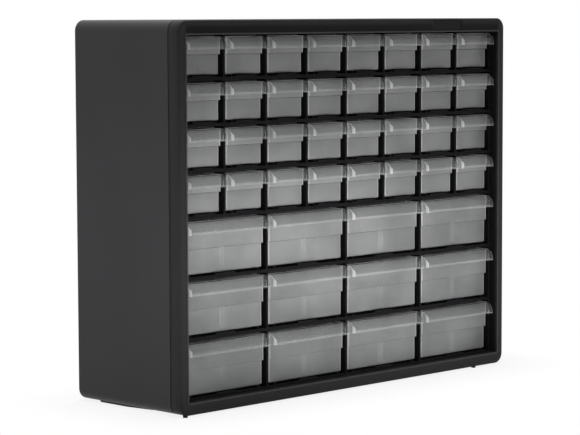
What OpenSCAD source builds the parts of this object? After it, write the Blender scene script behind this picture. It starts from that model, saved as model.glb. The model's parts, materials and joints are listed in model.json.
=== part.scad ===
// Parts bin cabinet: a black moulded cabinet with rows of small and large
// translucent drawers. Millimetres, X to the right, Y to the back, Z up.
// The origin is on the floor, under the middle of the cabinet.

/* [Drawers] */
// Small drawers side by side; each large drawer takes the room of two
small_columns = 8; // [2:2:8]
// Rows of small drawers, at the top
small_rows = 4; // [1:1:4]
// Rows of large drawers, below the small ones
large_rows = 3; // [1:1:3]
// Width of a small drawer over its rim
small_w = 54; // [42:0.1:80]
// Height of a small drawer
small_h = 38.8; // [34:0.1:60]
// Height of a large drawer
large_h = 54.1; // [42:0.1:90]
// Length of every tray, from front wall to rear wall
tray_l = 133; // [100:1:220]
// Thickness of a tray's walls
tray_wall = 1.5; // [1.2:0.1:2.2]
// Thickness of a tray's floor
tray_floor = 1.6; // [1:0.1:2.5]
// Corner radius of a tray seen from above
tray_corner = 2.6; // [2.4:0.1:5]
// Height of the step line above the underside of a small drawer
small_step = 20.4; // [14:0.1:24]
// Height of the step line above the underside of a large drawer
large_step = 25.4; // [14:0.1:30]
// How far a tray's sides and rear stand in below the step line
step_in = 0.8; // [0.4:0.1:1.1]
// How far a tray's front stands back below the step line
step_back = 2; // [1:0.1:3]

/* [Drawer handle] */
// How far the handle stands in front of the tray
handle_reach = 10; // [7:0.1:11.5]
// Radius of the handle's curved back
handle_r = 12; // [12:0.1:16]
// Thickness of the handle
handle_t = 1.3; // [1:0.1:2]
// Straight drop below the curve, down to the grip edge
handle_skirt = 1; // [0.5:0.1:4]
// Height of the thickened grip edge
grip_h = 2.5; // [1.5:0.1:4]
// Thickness of the grip edge
grip_t = 2; // [1.4:0.1:3]
// Thickness of the web that closes each end of the handle
web_t = 1.2; // [0.8:0.1:2]

/* [Divider slots and stop tab] */
// Width and depth of the ribs that form a divider slot
rib = 1.1; // [0.8:0.1:1.5]
// Clear width of a slot for a cross divider
slot_w = 1.8; // [1.2:0.1:3]
// Clear width of the middle slot of a large drawer
middle_slot_w = 3.4; // [1.8:0.1:5]
// Width of the stop tab under a tray
tab_w = 14; // [8:0.5:20]
// Thickness of the stop tab
tab_t = 2; // [1.5:0.1:3]
// Distance of the stop tab from the rear of the tray
tab_inset = 18; // [12:1:40]

/* [Shelves and posts] */
// Gap between a tray's rim and the post on each side
side_gap = 1.85; // [1:0.05:4]
// Gap between a tray's rim and the shelf above
top_gap = 2.3; // [1.4:0.1:5]
// Height of the runners that a tray slides on
runner_h = 2.3; // [2.2:0.1:5]
// Width of a runner
runner_w = 2; // [1.2:0.1:4]
// Distance of a runner from the tray's side
runner_inset = 9; // [6:0.5:12]
// Running gap between a tray and its runners
glide_gap = 0.3; // [0.3:0.05:0.5]
// Thickness of the shelves
shelf_t = 3.2; // [2.4:0.1:6]
// Thickness of the posts and of the guides behind them
post_t = 2.8; // [2:0.1:6]
// Depth of the posts
post_d = 14; // [8:0.5:30]
// Height of the guides between the drawers
guide_h = 8; // [4:0.5:12]
// Clearance in the halved joints of posts and shelves
joint_gap = 0.1; // [0.05:0.05:0.3]
// How far the trays stand behind the front edges of the posts
tray_set_back = 1.5; // [0.5:0.1:4]
// Depth of the stop strip along a shelf's front edge
strip_d = 2; // [1.2:0.1:4]
// Free space behind the trays, to the back wall
rear_room = 13.7; // [6:0.1:40]

/* [Cabinet] */
// Wall thickness of the housing and bezel
shell_t = 2.8; // [2:0.1:4]
// Corner radius of the cabinet's outline
corner_r = 11.5; // [10:0.5:18]
// Width of the bezel beside the opening
side_bar = 10.6; // [8:0.1:20]
// Height of the bezel above the opening
top_bar = 15.1; // [14.5:0.1:30]
// Height of the bezel below the opening
bottom_bar = 12.8; // [8:0.1:30]
// Depth of the bezel, from front face to seam
bezel_d = 16.4; // [14:0.1:20]
// Depth of the opening in front of the posts
recess = 11; // [8:0.1:12.5]
// Rounding of the bezel's front edge
front_edge_r = 1.6; // [1:0.1:6]
// Rounding of the housing's rear edge
rear_edge_r = 1.6; // [1:0.1:9]
// Width of the raised lip around the opening
lip_w = 1.6; // [1:0.1:1.8]
// How far the lip stands in front of the bezel's face
lip_rise = 0.7; // [0.3:0.1:1]
// Corner radius of the opening
opening_r = 1.2; // [0.8:0.1:2]
// Wall thickness around the opening
return_t = 2; // [1.4:0.1:3]
// Width of the seam between bezel and housing
seam = 1; // [0.3:0.1:1.4]
// Length of the tongue that centres the bezel on the housing
tongue_l = 4; // [2:0.1:4.5]
// How much of the lowest shelf's edge shows above the sill
floor_show = 2; // [0.5:0.1:2.4]
// Height of the head's lower edge above the top plate's underside; below 0 it hides the plate
head_show = -0.3; // [-1:0.1:2.4]

/* [Housing ribs, feet and keyholes] */
// Width of the ledges that carry the shelves
ledge_w = 4; // [2.5:0.1:4.5]
// Height of the ledges
ledge_h = 2.2; // [1.5:0.1:4]
// Height of the feet
foot_h = 1.4; // [1:0.1:6]
// Diameter of a front foot
foot_d = 5; // [4:0.5:9]
// Distance of the left front foot from the left side
left_foot_inset = 8; // [7:0.5:60]
// Distance of the right front foot from the right side
right_foot_inset = 49; // [7:0.5:60]
// Distance of the rear skids from the back of the cabinet
skid_inset = 26; // [16:1:40]
// Length of a rear skid on the floor
skid_l = 42; // [20:1:60]
// Length of the slope in front of a rear skid
skid_slope = 40; // [10:1:50]
// Distance between the two keyholes in the back wall
keyhole_span = 355.6; // [60:0.1:400]
// Diameter of a keyhole's lower hole, for the screw head
keyhole_head_d = 9; // [7:0.5:12]
// Diameter of a keyhole's slot, for the screw shank
keyhole_shank_d = 4.8; // [3.5:0.1:6]
// Rise of a keyhole's slot above its lower hole
keyhole_rise = 10; // [8:0.5:14]

/* [Bare plate] */
// Width of the bare plate on the bezel's head
blank_w = 48; // [30:0.5:80]
// Height of the bare plate
blank_h = 11; // [5:0.1:11]
// Distance of the bare plate above the opening
blank_rise = 2.3; // [2.3:0.1:2.6]
// Thickness of the bare plate
blank_t = 0.8; // [0.5:0.1:1]
// Distance of the plate from the right side of the cabinet
blank_inset = 75; // [30:0.5:100]

/* [Hidden] */
$fn = 48;
SMOKE = [0.66, 0.67, 0.67, 0.75];
BLACK = [0.13, 0.13, 0.14];
CHARCOAL = [0.2, 0.2, 0.21];
fit_gap = 0.3;                      // clearance between moulded pieces that fit together
slip = 0.01;                        // overlap that joins or cuts cleanly

// Across
large_columns = small_columns / 2;
bay_w = small_w + 2 * side_gap;                       // clear width of a small bay
pitch_x = bay_w + post_t;
large_w = 2 * bay_w + post_t - 2 * side_gap;          // a large bay spans two small ones
opening_w = small_columns * pitch_x + post_t;         // its end posts stand flush with the bezel
cabinet_w = opening_w + 2 * side_bar;

// Up
lift = runner_h + glide_gap;                          // underside of a tray above its shelf
small_pitch = shelf_t + lift + small_h + top_gap;
large_pitch = shelf_t + lift + large_h + top_gap;
sill_z = foot_h + bottom_bar;                         // lower edge of the opening
rack_z = sill_z + floor_show - shelf_t;               // underside of the lowest shelf
rows = small_rows + large_rows;
// Underside of the shelf below a row, counted from the top; row 0 is the top plate
function shelf_z(row) = rack_z
    + large_pitch * min(rows - row, large_rows)
    + small_pitch * max(0, small_rows - row);
rack_top = shelf_z(0) + shelf_t;
head_z = shelf_z(0) + head_show;                      // upper edge of the opening
cabinet_top = head_z + top_bar;
shell_h = cabinet_top - foot_h;

// Front to back
cabinet_d = recess + tray_set_back + tray_l + rear_room + shell_t;
front_y = -cabinet_d / 2;
back_y = cabinet_d / 2;
rack_y = front_y + recess;                            // front edges of shelves and posts
tray_y = rack_y + tray_set_back;                      // front wall of the closed trays
seam_y = front_y + bezel_d;
rack_end = back_y - shell_t - fit_gap;                // rear edges of the shelves
rack_inset = shell_t + fit_gap + corner_cut(max(
    foot_h + corner_r - rack_z, rack_top - cabinet_top + corner_r));
rack_w = cabinet_w - 2 * rack_inset;                  // width of the shelves
inner_edge_r = max(0.6, rear_edge_r - shell_t);       // rounding inside the housing's rear edge
face_y = front_y + lip_rise;                          // the bezel's face, behind its lip

// How far the housing's rounded inner corner reaches inward at a height past the corner's centre
function corner_cut(past) = corner_r - shell_t - sqrt(pow(corner_r - shell_t, 2) - pow(max(0, past), 2));

// Stops: the tab under a drawn tray meets the strip at the shelf's front edge
stop_gap = 0.8;                                       // clearance of strip and tab, below and above
strip_h = lift - stop_gap;
tab_h = lift - stop_gap;
rear_stop_h = 5;
rear_stop_d = 2;

// Tongue and bare plate
tongue_play = 0.1;                                    // clearance of the tongue, on each face
blank_sink = 0.4;                                     // the bare plate's face behind the bezel's

function is_small(row) = row <= small_rows;
function columns(row) = is_small(row) ? small_columns : large_columns;
function bay_pitch(row) = is_small(row) ? pitch_x : 2 * pitch_x;
function bay_x(row, column) = (column - (columns(row) + 1) / 2) * bay_pitch(row);
function drawer_name(row, column) = str(is_small(row) ? "small" : "large", "_drawer_", row, "_", column);
function shelf_name(row) = str("shelf_", row);

// ---------- outlines ----------

// Rectangle with round corners, centred on X, from y = 0 to y = d
module round_plan(w, d, r) {
    translate([-w / 2 + r, 0]) square([w - 2 * r, d]);
    translate([-w / 2, r]) square([w, d - 2 * r]);
    for (side = [-1, 1], y = [r, d - r])
        translate([side * (w / 2 - r), y]) circle(r);
}

// Prism with round corners, from z = 0 to z = h
module round_prism(w, d, h, r) {
    linear_extrude(h) round_plan(w, d, r);
}

// Upright frame-shaped prism: a round-cornered rectangle in the XZ plane, extruded along Y
module upright_prism(w, h, depth, r) {
    translate([0, depth, 0]) rotate([90, 0, 0]) linear_extrude(depth) round_plan(w, h, r);
}

// Section of a block whose two front corners are rounded; x is the depth, y the size
module soft_section(size, depth, edge_r) {
    translate([0, edge_r]) square([depth, size - 2 * edge_r]);
    translate([edge_r, 0]) square([depth - edge_r, size]);
    for (y = [edge_r, size - edge_r]) translate([edge_r, y]) circle(edge_r);
}

// Profile of a corner of the same block, turned round the corner's own axis
module soft_corner(depth, r, edge_r) {
    rotate([-90, 0, 0]) rotate_extrude() {
        square([r - edge_r, depth]);
        translate([0, edge_r]) square([r, depth - edge_r]);
        intersection() {
            translate([r - edge_r, edge_r]) circle(edge_r);
            translate([r - edge_r, 0]) square([edge_r, edge_r]);
        }
    }
}

// Block with round corners in front view and a rounded edge all round its front face
module soft_block(w, h, depth, r, edge_r) {
    translate([-w / 2 + r, 0, 0])
        rotate([90, 0, 90]) linear_extrude(w - 2 * r) soft_section(h, depth, edge_r);
    translate([0, 0, r]) linear_extrude(h - 2 * r)
        mirror([1, -1]) translate([0, -w / 2]) soft_section(w, depth, edge_r);
    for (side = [-1, 1], z = [r, h - r])
        translate([side * (w / 2 - r), 0, z]) soft_corner(depth, r, edge_r);
}

// ---------- drawers ----------

// Side view of the handle: y is the height above the tray's underside, x runs to the back
module handle_curve(h, r) {
    translate([handle_r - handle_reach, h - curve_drop()]) circle(r);
}

// Height of the handle's curve, from the tray's rim to where it hangs straight
function curve_drop() = sqrt(pow(handle_r, 2) - pow(handle_r - handle_reach, 2));

module handle_web(h) {
    drop = curve_drop();
    intersection() {
        handle_curve(h, handle_r);
        translate([-handle_reach, h - drop]) square([handle_reach + tray_wall, drop]);
    }
    translate([-handle_reach, h - drop - handle_skirt])
        square([handle_reach + tray_wall, handle_skirt + slip]);
}

module handle_shell(h) {
    bottom = h - curve_drop() - handle_skirt;
    difference() {
        handle_web(h);
        handle_curve(h, handle_r - handle_t);
        translate([-handle_reach + handle_t, bottom - slip])
            square([handle_reach + tray_wall, handle_skirt + 2 * slip]);
    }
    translate([-handle_reach, bottom]) square([grip_t, grip_h]);
}

module handle(w, h) {
    translate([-w / 2, 0, 0]) rotate([90, 0, 90]) linear_extrude(w) handle_shell(h);
    for (x = [-w / 2, w / 2 - web_t])
        translate([x, 0, 0]) rotate([90, 0, 90]) linear_extrude(web_t) handle_web(h);
}

// Two upright ribs with a slot of the given width between them, on a wall whose face is x = 0
module slot_ribs(gap, height) {
    for (y = [-gap / 2 - rib, gap / 2])
        translate([-slip, y, tray_floor - slip]) cube([rib + slip, rib, height - tray_floor + slip]);
}

// Slots for cross dividers on both sides, and for a lengthwise divider in a large drawer
module divider_slots(w, step, large) {
    side_x = w / 2 - step_in - tray_wall;
    places = large ? [1 / 3, 2 / 3] : [1 / 2];
    for (side = [-1, 1], place = places)
        translate([side * side_x, tray_l * place, 0])
            rotate([0, 0, side < 0 ? 0 : 180]) slot_ribs(slot_w, step);
    if (large) {
        translate([0, step_back + tray_wall, 0]) rotate([0, 0, 90]) slot_ribs(middle_slot_w, step);
        translate([0, tray_l - step_in - tray_wall, 0])
            rotate([0, 0, -90]) slot_ribs(middle_slot_w, step);
    }
}

// One tray, with its front wall at y = 0 and its underside at z = 0
module drawer(w, h, step, large) {
    low_l = tray_l - step_back - step_in;
    low_w = w - 2 * step_in;
    inner_r = tray_corner - tray_wall;
    color(SMOKE) {
        difference() {
            union() {
                translate([0, 0, step]) round_prism(w, tray_l, h - step, tray_corner);
                translate([0, step_back, 0]) round_prism(low_w, low_l, step + slip, tray_corner);
            }
            translate([0, tray_wall, step + tray_wall])
                round_prism(w - 2 * tray_wall, tray_l - 2 * tray_wall, h, inner_r);
            translate([0, step_back + tray_wall, tray_floor])
                round_prism(low_w - 2 * tray_wall, low_l - 2 * tray_wall, h, inner_r);
        }
        divider_slots(w, step, large);
        handle(w, h);
        translate([-tab_w / 2, tray_l - tab_inset - tab_t, -tab_h])
            cube([tab_w, tab_t, tab_h + slip]);
    }
}

module placed_drawer(row, column) {
    small = is_small(row);
    translate([bay_x(row, column), tray_y, shelf_z(row) + shelf_t + lift])
        drawer(small ? small_w : large_w, small ? small_h : large_h, small ? small_step : large_step, !small);
}

// ---------- rack of shelves and posts ----------

// Notches in a shelf's front edge, which the posts pass through
module post_notches(row) {
    bays = columns(row);
    for (i = [0:bays])
        translate([(i - bays / 2) * bay_pitch(row) - post_t / 2 - joint_gap, rack_y - slip, -slip])
            cube([post_t + 2 * joint_gap, post_d / 2 + joint_gap + slip, shelf_t + 2 * slip]);
}

// Plate that all shelves share, with its underside at z = 0
module shelf_plate(row) {
    depth = rack_end - rack_y;
    difference() {
        translate([0, rack_y, 0]) linear_extrude(shelf_t) {
            translate([-rack_w / 2, 0]) square([rack_w, depth - inner_edge_r]);
            translate([-rack_w / 2 + inner_edge_r, 0]) square([rack_w - 2 * inner_edge_r, depth]);
            for (side = [-1, 1])
                translate([side * (rack_w / 2 - inner_edge_r), depth - inner_edge_r]) circle(inner_edge_r);
        }
        post_notches(row);
    }
}

// Low walls that keep the trays of a row apart, behind the posts
module guides(row) {
    bays = columns(row);
    start = rack_y + post_d;
    for (i = [0:bays])
        translate([(i - bays / 2) * bay_pitch(row) - post_t / 2, start, shelf_t - slip])
            cube([post_t, rack_end - start, guide_h + slip]);
}

// Runners, stop strip and rear stop of one bay
module bay_fittings(row, column) {
    w = is_small(row) ? small_w : large_w;
    runner_x = w / 2 - runner_inset;
    stop_y = tray_y + tray_l + glide_gap;
    translate([bay_x(row, column), 0, shelf_t - slip]) {
        for (side = [-1, 1])
            translate([side * runner_x - runner_w / 2, rack_y + strip_d, 0])
                cube([runner_w, stop_y - rack_y - strip_d + slip, runner_h + slip]);
        translate([-tab_w, rack_y, 0]) cube([2 * tab_w, strip_d, strip_h + slip]);
        translate([-w / 2, stop_y, 0]) cube([w, rear_stop_d, rear_stop_h + slip]);
    }
}

module shelf(row) {
    color(BLACK) translate([0, 0, shelf_z(row)]) {
        shelf_plate(row);
        guides(row);
        for (column = [1:columns(row)]) bay_fittings(row, column);
    }
}

module top_plate() {
    color(BLACK) translate([0, 0, shelf_z(0)]) shelf_plate(0);
}

// Upright strip from the top plate down to the shelf below the given row
module post(x, last_row) {
    foot = shelf_z(last_row);
    color(BLACK) difference() {
        translate([x - post_t / 2, rack_y, foot]) cube([post_t, post_d, rack_top - foot]);
        for (row = [0:last_row])
            translate([x - post_t / 2 - slip, rack_y + post_d / 2, shelf_z(row) - joint_gap])
                cube([post_t + 2 * slip, post_d / 2 + slip, shelf_t + 2 * joint_gap]);
    }
}

module end_post(side) {
    post(side * small_columns * pitch_x / 2, rows);
}

// Posts between the large columns stand the whole height
module long_posts() {
    for (i = [1:large_columns - 1]) post((i - large_columns / 2) * 2 * pitch_x, rows);
}

// Posts between a pair of small columns end where the large drawers begin
module short_posts() {
    for (i = [1:large_columns]) post((i - (large_columns + 1) / 2) * 2 * pitch_x, small_rows);
}

// ---------- housing and bezel ----------

// Keyhole through the back wall, head hole at z = 0
module keyhole() {
    depth = shell_t + 2 * slip;
    translate([0, back_y + slip, 0]) rotate([90, 0, 0]) {
        cylinder(h = depth, d = keyhole_head_d);
        translate([0, keyhole_rise, 0]) cylinder(h = depth, d = keyhole_shank_d);
        translate([-keyhole_shank_d / 2, 0, 0]) cube([keyhole_shank_d, keyhole_rise, depth]);
    }
}

// Ledges that carry a shelf on the side walls and the back wall
module ledges(row) {
    inside_x = cabinet_w / 2 - shell_t;
    top_z = shelf_z(row);
    for (side = [-1, 1])
        translate([side * (inside_x - (ledge_w - slip) / 2), (seam_y + rack_end) / 2 + fit_gap, top_z - ledge_h / 2])
            cube([ledge_w + slip, rack_end - seam_y, ledge_h], center = true);
    translate([-inside_x + ledge_w, rack_end + fit_gap - ledge_w, top_z - ledge_h])
        cube([2 * (inside_x - ledge_w), ledge_w + slip, ledge_h]);
}

// Skid under the rear of the housing, with a long slope at its front
module skid() {
    rear = back_y - skid_inset;
    rotate([90, 0, 90]) linear_extrude(foot_d) polygon([
        [rear, 0],
        [rear - skid_l, 0],
        [rear - skid_l - skid_slope, foot_h],
        [rear - skid_l - skid_slope, foot_h + shell_t / 2],
        [rear + foot_h, foot_h + shell_t / 2],
        [rear + foot_h, foot_h],
    ]);
}

module rear_housing() {
    inner_r = corner_r - shell_t;
    tongue_t = shell_t / 2 - tongue_play;
    rear_d = back_y - seam_y - seam / 2;
    keyhole_z = (shelf_z(0) + shelf_z(1) + shelf_t - keyhole_rise) / 2;
    color(CHARCOAL) {
        difference() {
            union() {
                translate([0, back_y, foot_h]) mirror([0, 1, 0])
                    soft_block(cabinet_w, shell_h, rear_d, corner_r, rear_edge_r);
                translate([0, seam_y - tongue_l, foot_h + shell_t - tongue_t])
                    upright_prism(cabinet_w - 2 * (shell_t - tongue_t), shell_h - 2 * (shell_t - tongue_t),
                                  tongue_l + seam, inner_r + tongue_t);
                for (side = [-1, 1])
                    translate([side * (cabinet_w / 2 - corner_r) - foot_d / 2, 0, 0]) skid();
            }
            translate([0, back_y - shell_t, foot_h + shell_t]) mirror([0, 1, 0])
                soft_block(cabinet_w - 2 * shell_t, shell_h - 2 * shell_t,
                           back_y - front_y, inner_r, inner_edge_r);
            for (side = [-1, 1])
                translate([side * keyhole_span / 2, 0, keyhole_z]) keyhole();
        }
        for (row = [0:rows]) ledges(row);
    }
}

// Bare plate on the bezel's head, or with a gap and more thickness the pocket that holds it
module blank_pocket(gap, thickness) {
    floor_y = face_y + blank_sink + blank_t;
    translate([cabinet_w / 2 - blank_inset - blank_w - gap, floor_y - thickness, head_z + blank_rise - gap])
        cube([blank_w + 2 * gap, thickness, blank_h + 2 * gap]);
}

module blank_plate() {
    color(BLACK) blank_pocket(0, blank_t);
}

module front_bezel() {
    inner_r = corner_r - shell_t;
    opening_h = head_z - sill_z;
    rebate = shell_t / 2 + tongue_play;
    behind = recess - fit_gap;            // depth of the wall round the opening
    color(BLACK) difference() {
        union() {
            translate([0, face_y, foot_h])
                soft_block(cabinet_w, shell_h, seam_y - seam / 2 - face_y, corner_r, front_edge_r);
            // Lip round the opening
            translate([0, front_y, sill_z - lip_w])
                upright_prism(opening_w + 2 * lip_w, opening_h + 2 * lip_w, shell_t, opening_r + lip_w);
            for (x = [-cabinet_w / 2 + left_foot_inset, cabinet_w / 2 - right_foot_inset])
                translate([x, face_y + foot_d / 2, 0]) cylinder(h = foot_h + shell_t, d = foot_d);
        }
        // The opening
        translate([0, front_y - slip, sill_z]) upright_prism(opening_w, opening_h, bezel_d, opening_r);
        // The hollow behind the front face
        difference() {
            translate([0, face_y + shell_t, foot_h + shell_t])
                upright_prism(cabinet_w - 2 * shell_t, shell_h - 2 * shell_t, bezel_d, inner_r);
            translate([0, front_y, sill_z - return_t])
                upright_prism(opening_w + 2 * return_t, opening_h + 2 * return_t, behind, return_t + opening_r);
        }
        // Rebate for the housing's tongue
        translate([0, seam_y - tongue_l - fit_gap, foot_h + shell_t - rebate])
            upright_prism(cabinet_w - 2 * (shell_t - rebate), shell_h - 2 * (shell_t - rebate),
                          bezel_d, inner_r + rebate);
        blank_pocket(fit_gap, 2 * blank_t);
    }
}

// ---------- pieces ----------

rear_housing();
front_bezel();
blank_plate();
top_plate();
for (row = [1:rows])
    shelf(row);
long_posts();
short_posts();
end_post(-1);  // left_end_post
end_post(1);  // right_end_post
for (row = [1:rows], column = [1:columns(row)])
    placed_drawer(row, column);
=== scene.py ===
"""Looks of the parts bin cabinet: moulded drawers, rack, housing, finishes and studio.

Lengths are millimetres in the row frame, X to the right, Y to the back wall and Z up,
except where a class says metres, and every mesh is made in metres.
"""

from __future__ import annotations

import json
import logging
import math
from dataclasses import dataclass, field, replace
from enum import Enum
from typing import Callable, Iterable, Sequence

import bmesh
import bpy
from mathutils import Matrix, Vector

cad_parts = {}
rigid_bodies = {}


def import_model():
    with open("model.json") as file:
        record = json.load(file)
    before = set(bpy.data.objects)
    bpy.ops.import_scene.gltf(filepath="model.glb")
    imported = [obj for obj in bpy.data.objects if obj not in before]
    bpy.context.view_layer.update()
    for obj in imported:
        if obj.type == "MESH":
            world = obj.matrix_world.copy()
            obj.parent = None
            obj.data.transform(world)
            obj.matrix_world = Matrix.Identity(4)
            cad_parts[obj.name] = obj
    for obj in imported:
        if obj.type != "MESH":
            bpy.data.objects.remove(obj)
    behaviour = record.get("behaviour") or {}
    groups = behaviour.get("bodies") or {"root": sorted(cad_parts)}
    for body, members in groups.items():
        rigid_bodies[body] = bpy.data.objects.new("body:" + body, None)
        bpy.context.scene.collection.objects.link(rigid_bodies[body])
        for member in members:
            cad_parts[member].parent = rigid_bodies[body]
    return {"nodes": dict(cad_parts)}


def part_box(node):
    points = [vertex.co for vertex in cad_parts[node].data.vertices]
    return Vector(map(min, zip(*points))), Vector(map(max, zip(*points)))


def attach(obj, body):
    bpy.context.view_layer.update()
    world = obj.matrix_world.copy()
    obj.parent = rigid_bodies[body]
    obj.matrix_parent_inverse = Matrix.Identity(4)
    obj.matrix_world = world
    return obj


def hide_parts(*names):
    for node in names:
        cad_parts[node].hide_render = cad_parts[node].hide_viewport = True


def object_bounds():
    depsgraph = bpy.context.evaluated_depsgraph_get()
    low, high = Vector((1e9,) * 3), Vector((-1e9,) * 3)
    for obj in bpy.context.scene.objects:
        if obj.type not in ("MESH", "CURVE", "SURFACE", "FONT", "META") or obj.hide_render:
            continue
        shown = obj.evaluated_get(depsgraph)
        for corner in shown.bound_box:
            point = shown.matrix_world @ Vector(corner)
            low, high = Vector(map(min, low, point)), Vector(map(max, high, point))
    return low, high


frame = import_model()
CAD_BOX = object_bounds()

LOG = logging.getLogger("parts_cabinet")
MM = 0.001
ROWS = 7
WHITE = (1.0, 1.0, 1.0, 1.0)
Colour = tuple[float, float, float]
Point = tuple[float, float, float]
Span = tuple[float, float]
Socket = bpy.types.NodeSocket


# ---------------------------------------------------------------- node helpers


class Wiring:
    """Adds nodes to one node tree and joins them.

    Args:
        tree: The node tree of a material, a world or a node group.
    """

    def __init__(self, tree: bpy.types.NodeTree) -> None:
        """Keeps the tree."""
        self.tree = tree

    def feed(self, node: bpy.types.Node, inputs: dict) -> bpy.types.Node:
        """Sets or links a node's inputs.

        Args:
            node: A node of this tree.
            inputs: Values or output sockets for the node's inputs, by name or number.

        Returns:
            The same node.
        """
        for name, value in inputs.items():
            if isinstance(value, Socket):
                self.tree.links.new(value, node.inputs[name])
            else:
                node.inputs[name].default_value = value
        return node

    def add(self, kind: str, inputs: dict | None = None, **settings: object) -> bpy.types.Node:
        """Adds one node.

        Args:
            kind: The node's type name, without the ShaderNode prefix.
            inputs: Values or output sockets for the node's inputs, by name or number.
            settings: Values for the node's own properties.

        Returns:
            The new node.
        """
        node = self.tree.nodes.new("ShaderNode" + kind)
        for name, value in settings.items():
            setattr(node, name, value)
        return self.feed(node, inputs or {})

    def math(self, operation: str, *values: object, clamp: bool = False) -> Socket:
        """Adds a Math node for one to three numbers or sockets and returns its output."""
        node = self.add("Math", dict(enumerate(values)), operation=operation, use_clamp=clamp)
        return node.outputs[0]

    def ramp(self, value: object, low: float, high: float, to_low: float = 0.0, to_high: float = 1.0,
             smooth: bool = True) -> Socket:
        """Maps a value from one span to another and returns the socket.

        Args:
            value: The socket to map.
            low: Input that gives to_low.
            high: Input that gives to_high.
            to_low: Output at low.
            to_high: Output at high.
            smooth: Whether the change eases in and out.

        Returns:
            The mapped value's socket.
        """
        node = self.add("MapRange", {0: value, 1: low, 2: high, 3: to_low, 4: to_high},
                        interpolation_type="SMOOTHSTEP" if smooth else "LINEAR")
        return node.outputs[0]

    def mix(self, share: object, first: object, second: object) -> Socket:
        """Mixes two colours, all first at share 0 and all second at share 1, and returns the socket."""
        node = self.add("Mix", {0: share, 6: rgba(first), 7: rgba(second)}, data_type="RGBA")
        return node.outputs[2]

    def position(self) -> Socket:
        """Gives the position on the object, in metres."""
        return self.add("TexCoord").outputs["Object"]

    def parts(self, vector: Socket) -> tuple[Socket, Socket, Socket]:
        """Splits a vector into its X, Y and Z sockets."""
        return tuple(self.add("SeparateXYZ", {0: vector}).outputs)

    def bump(self, height: Socket, depth: float) -> bpy.types.Node:
        """Adds a Bump node for a height that is depth millimetres at 1."""
        return self.add("Bump", {"Height": height, "Distance": depth * MM, "Strength": 1.0})


def rgba(colour: object) -> object:
    """Gives a three-part colour its fourth part.

    Args:
        colour: A colour of three or four parts, or a socket.

    Returns:
        The colour with four parts, or the socket as it came.
    """
    if isinstance(colour, Socket) or len(colour) == 4:
        return colour
    return (*colour, 1.0)


def scaled(colour: Colour, share: float) -> Colour:
    """Makes a colour lighter or darker."""
    return tuple(part * share for part in colour)


def new_material(name: str) -> tuple[bpy.types.Material, Wiring, bpy.types.Node]:
    """Makes a material with nodes.

    Args:
        name: The material's name.

    Returns:
        The material, its wiring and its Principled shader.
    """
    material = bpy.data.materials.new(name)
    material.use_nodes = True
    return material, Wiring(material.node_tree), material.node_tree.nodes["Principled BSDF"]


# ---------------------------------------------------------------- shared effects


class Effect(Enum):
    """The shader node groups that more than one finish uses."""

    MOULDED_GRAIN = "moulded_grain"
    EDGE_RUB = "edge_rub"
    DUST_FILM = "dust_film"


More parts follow.
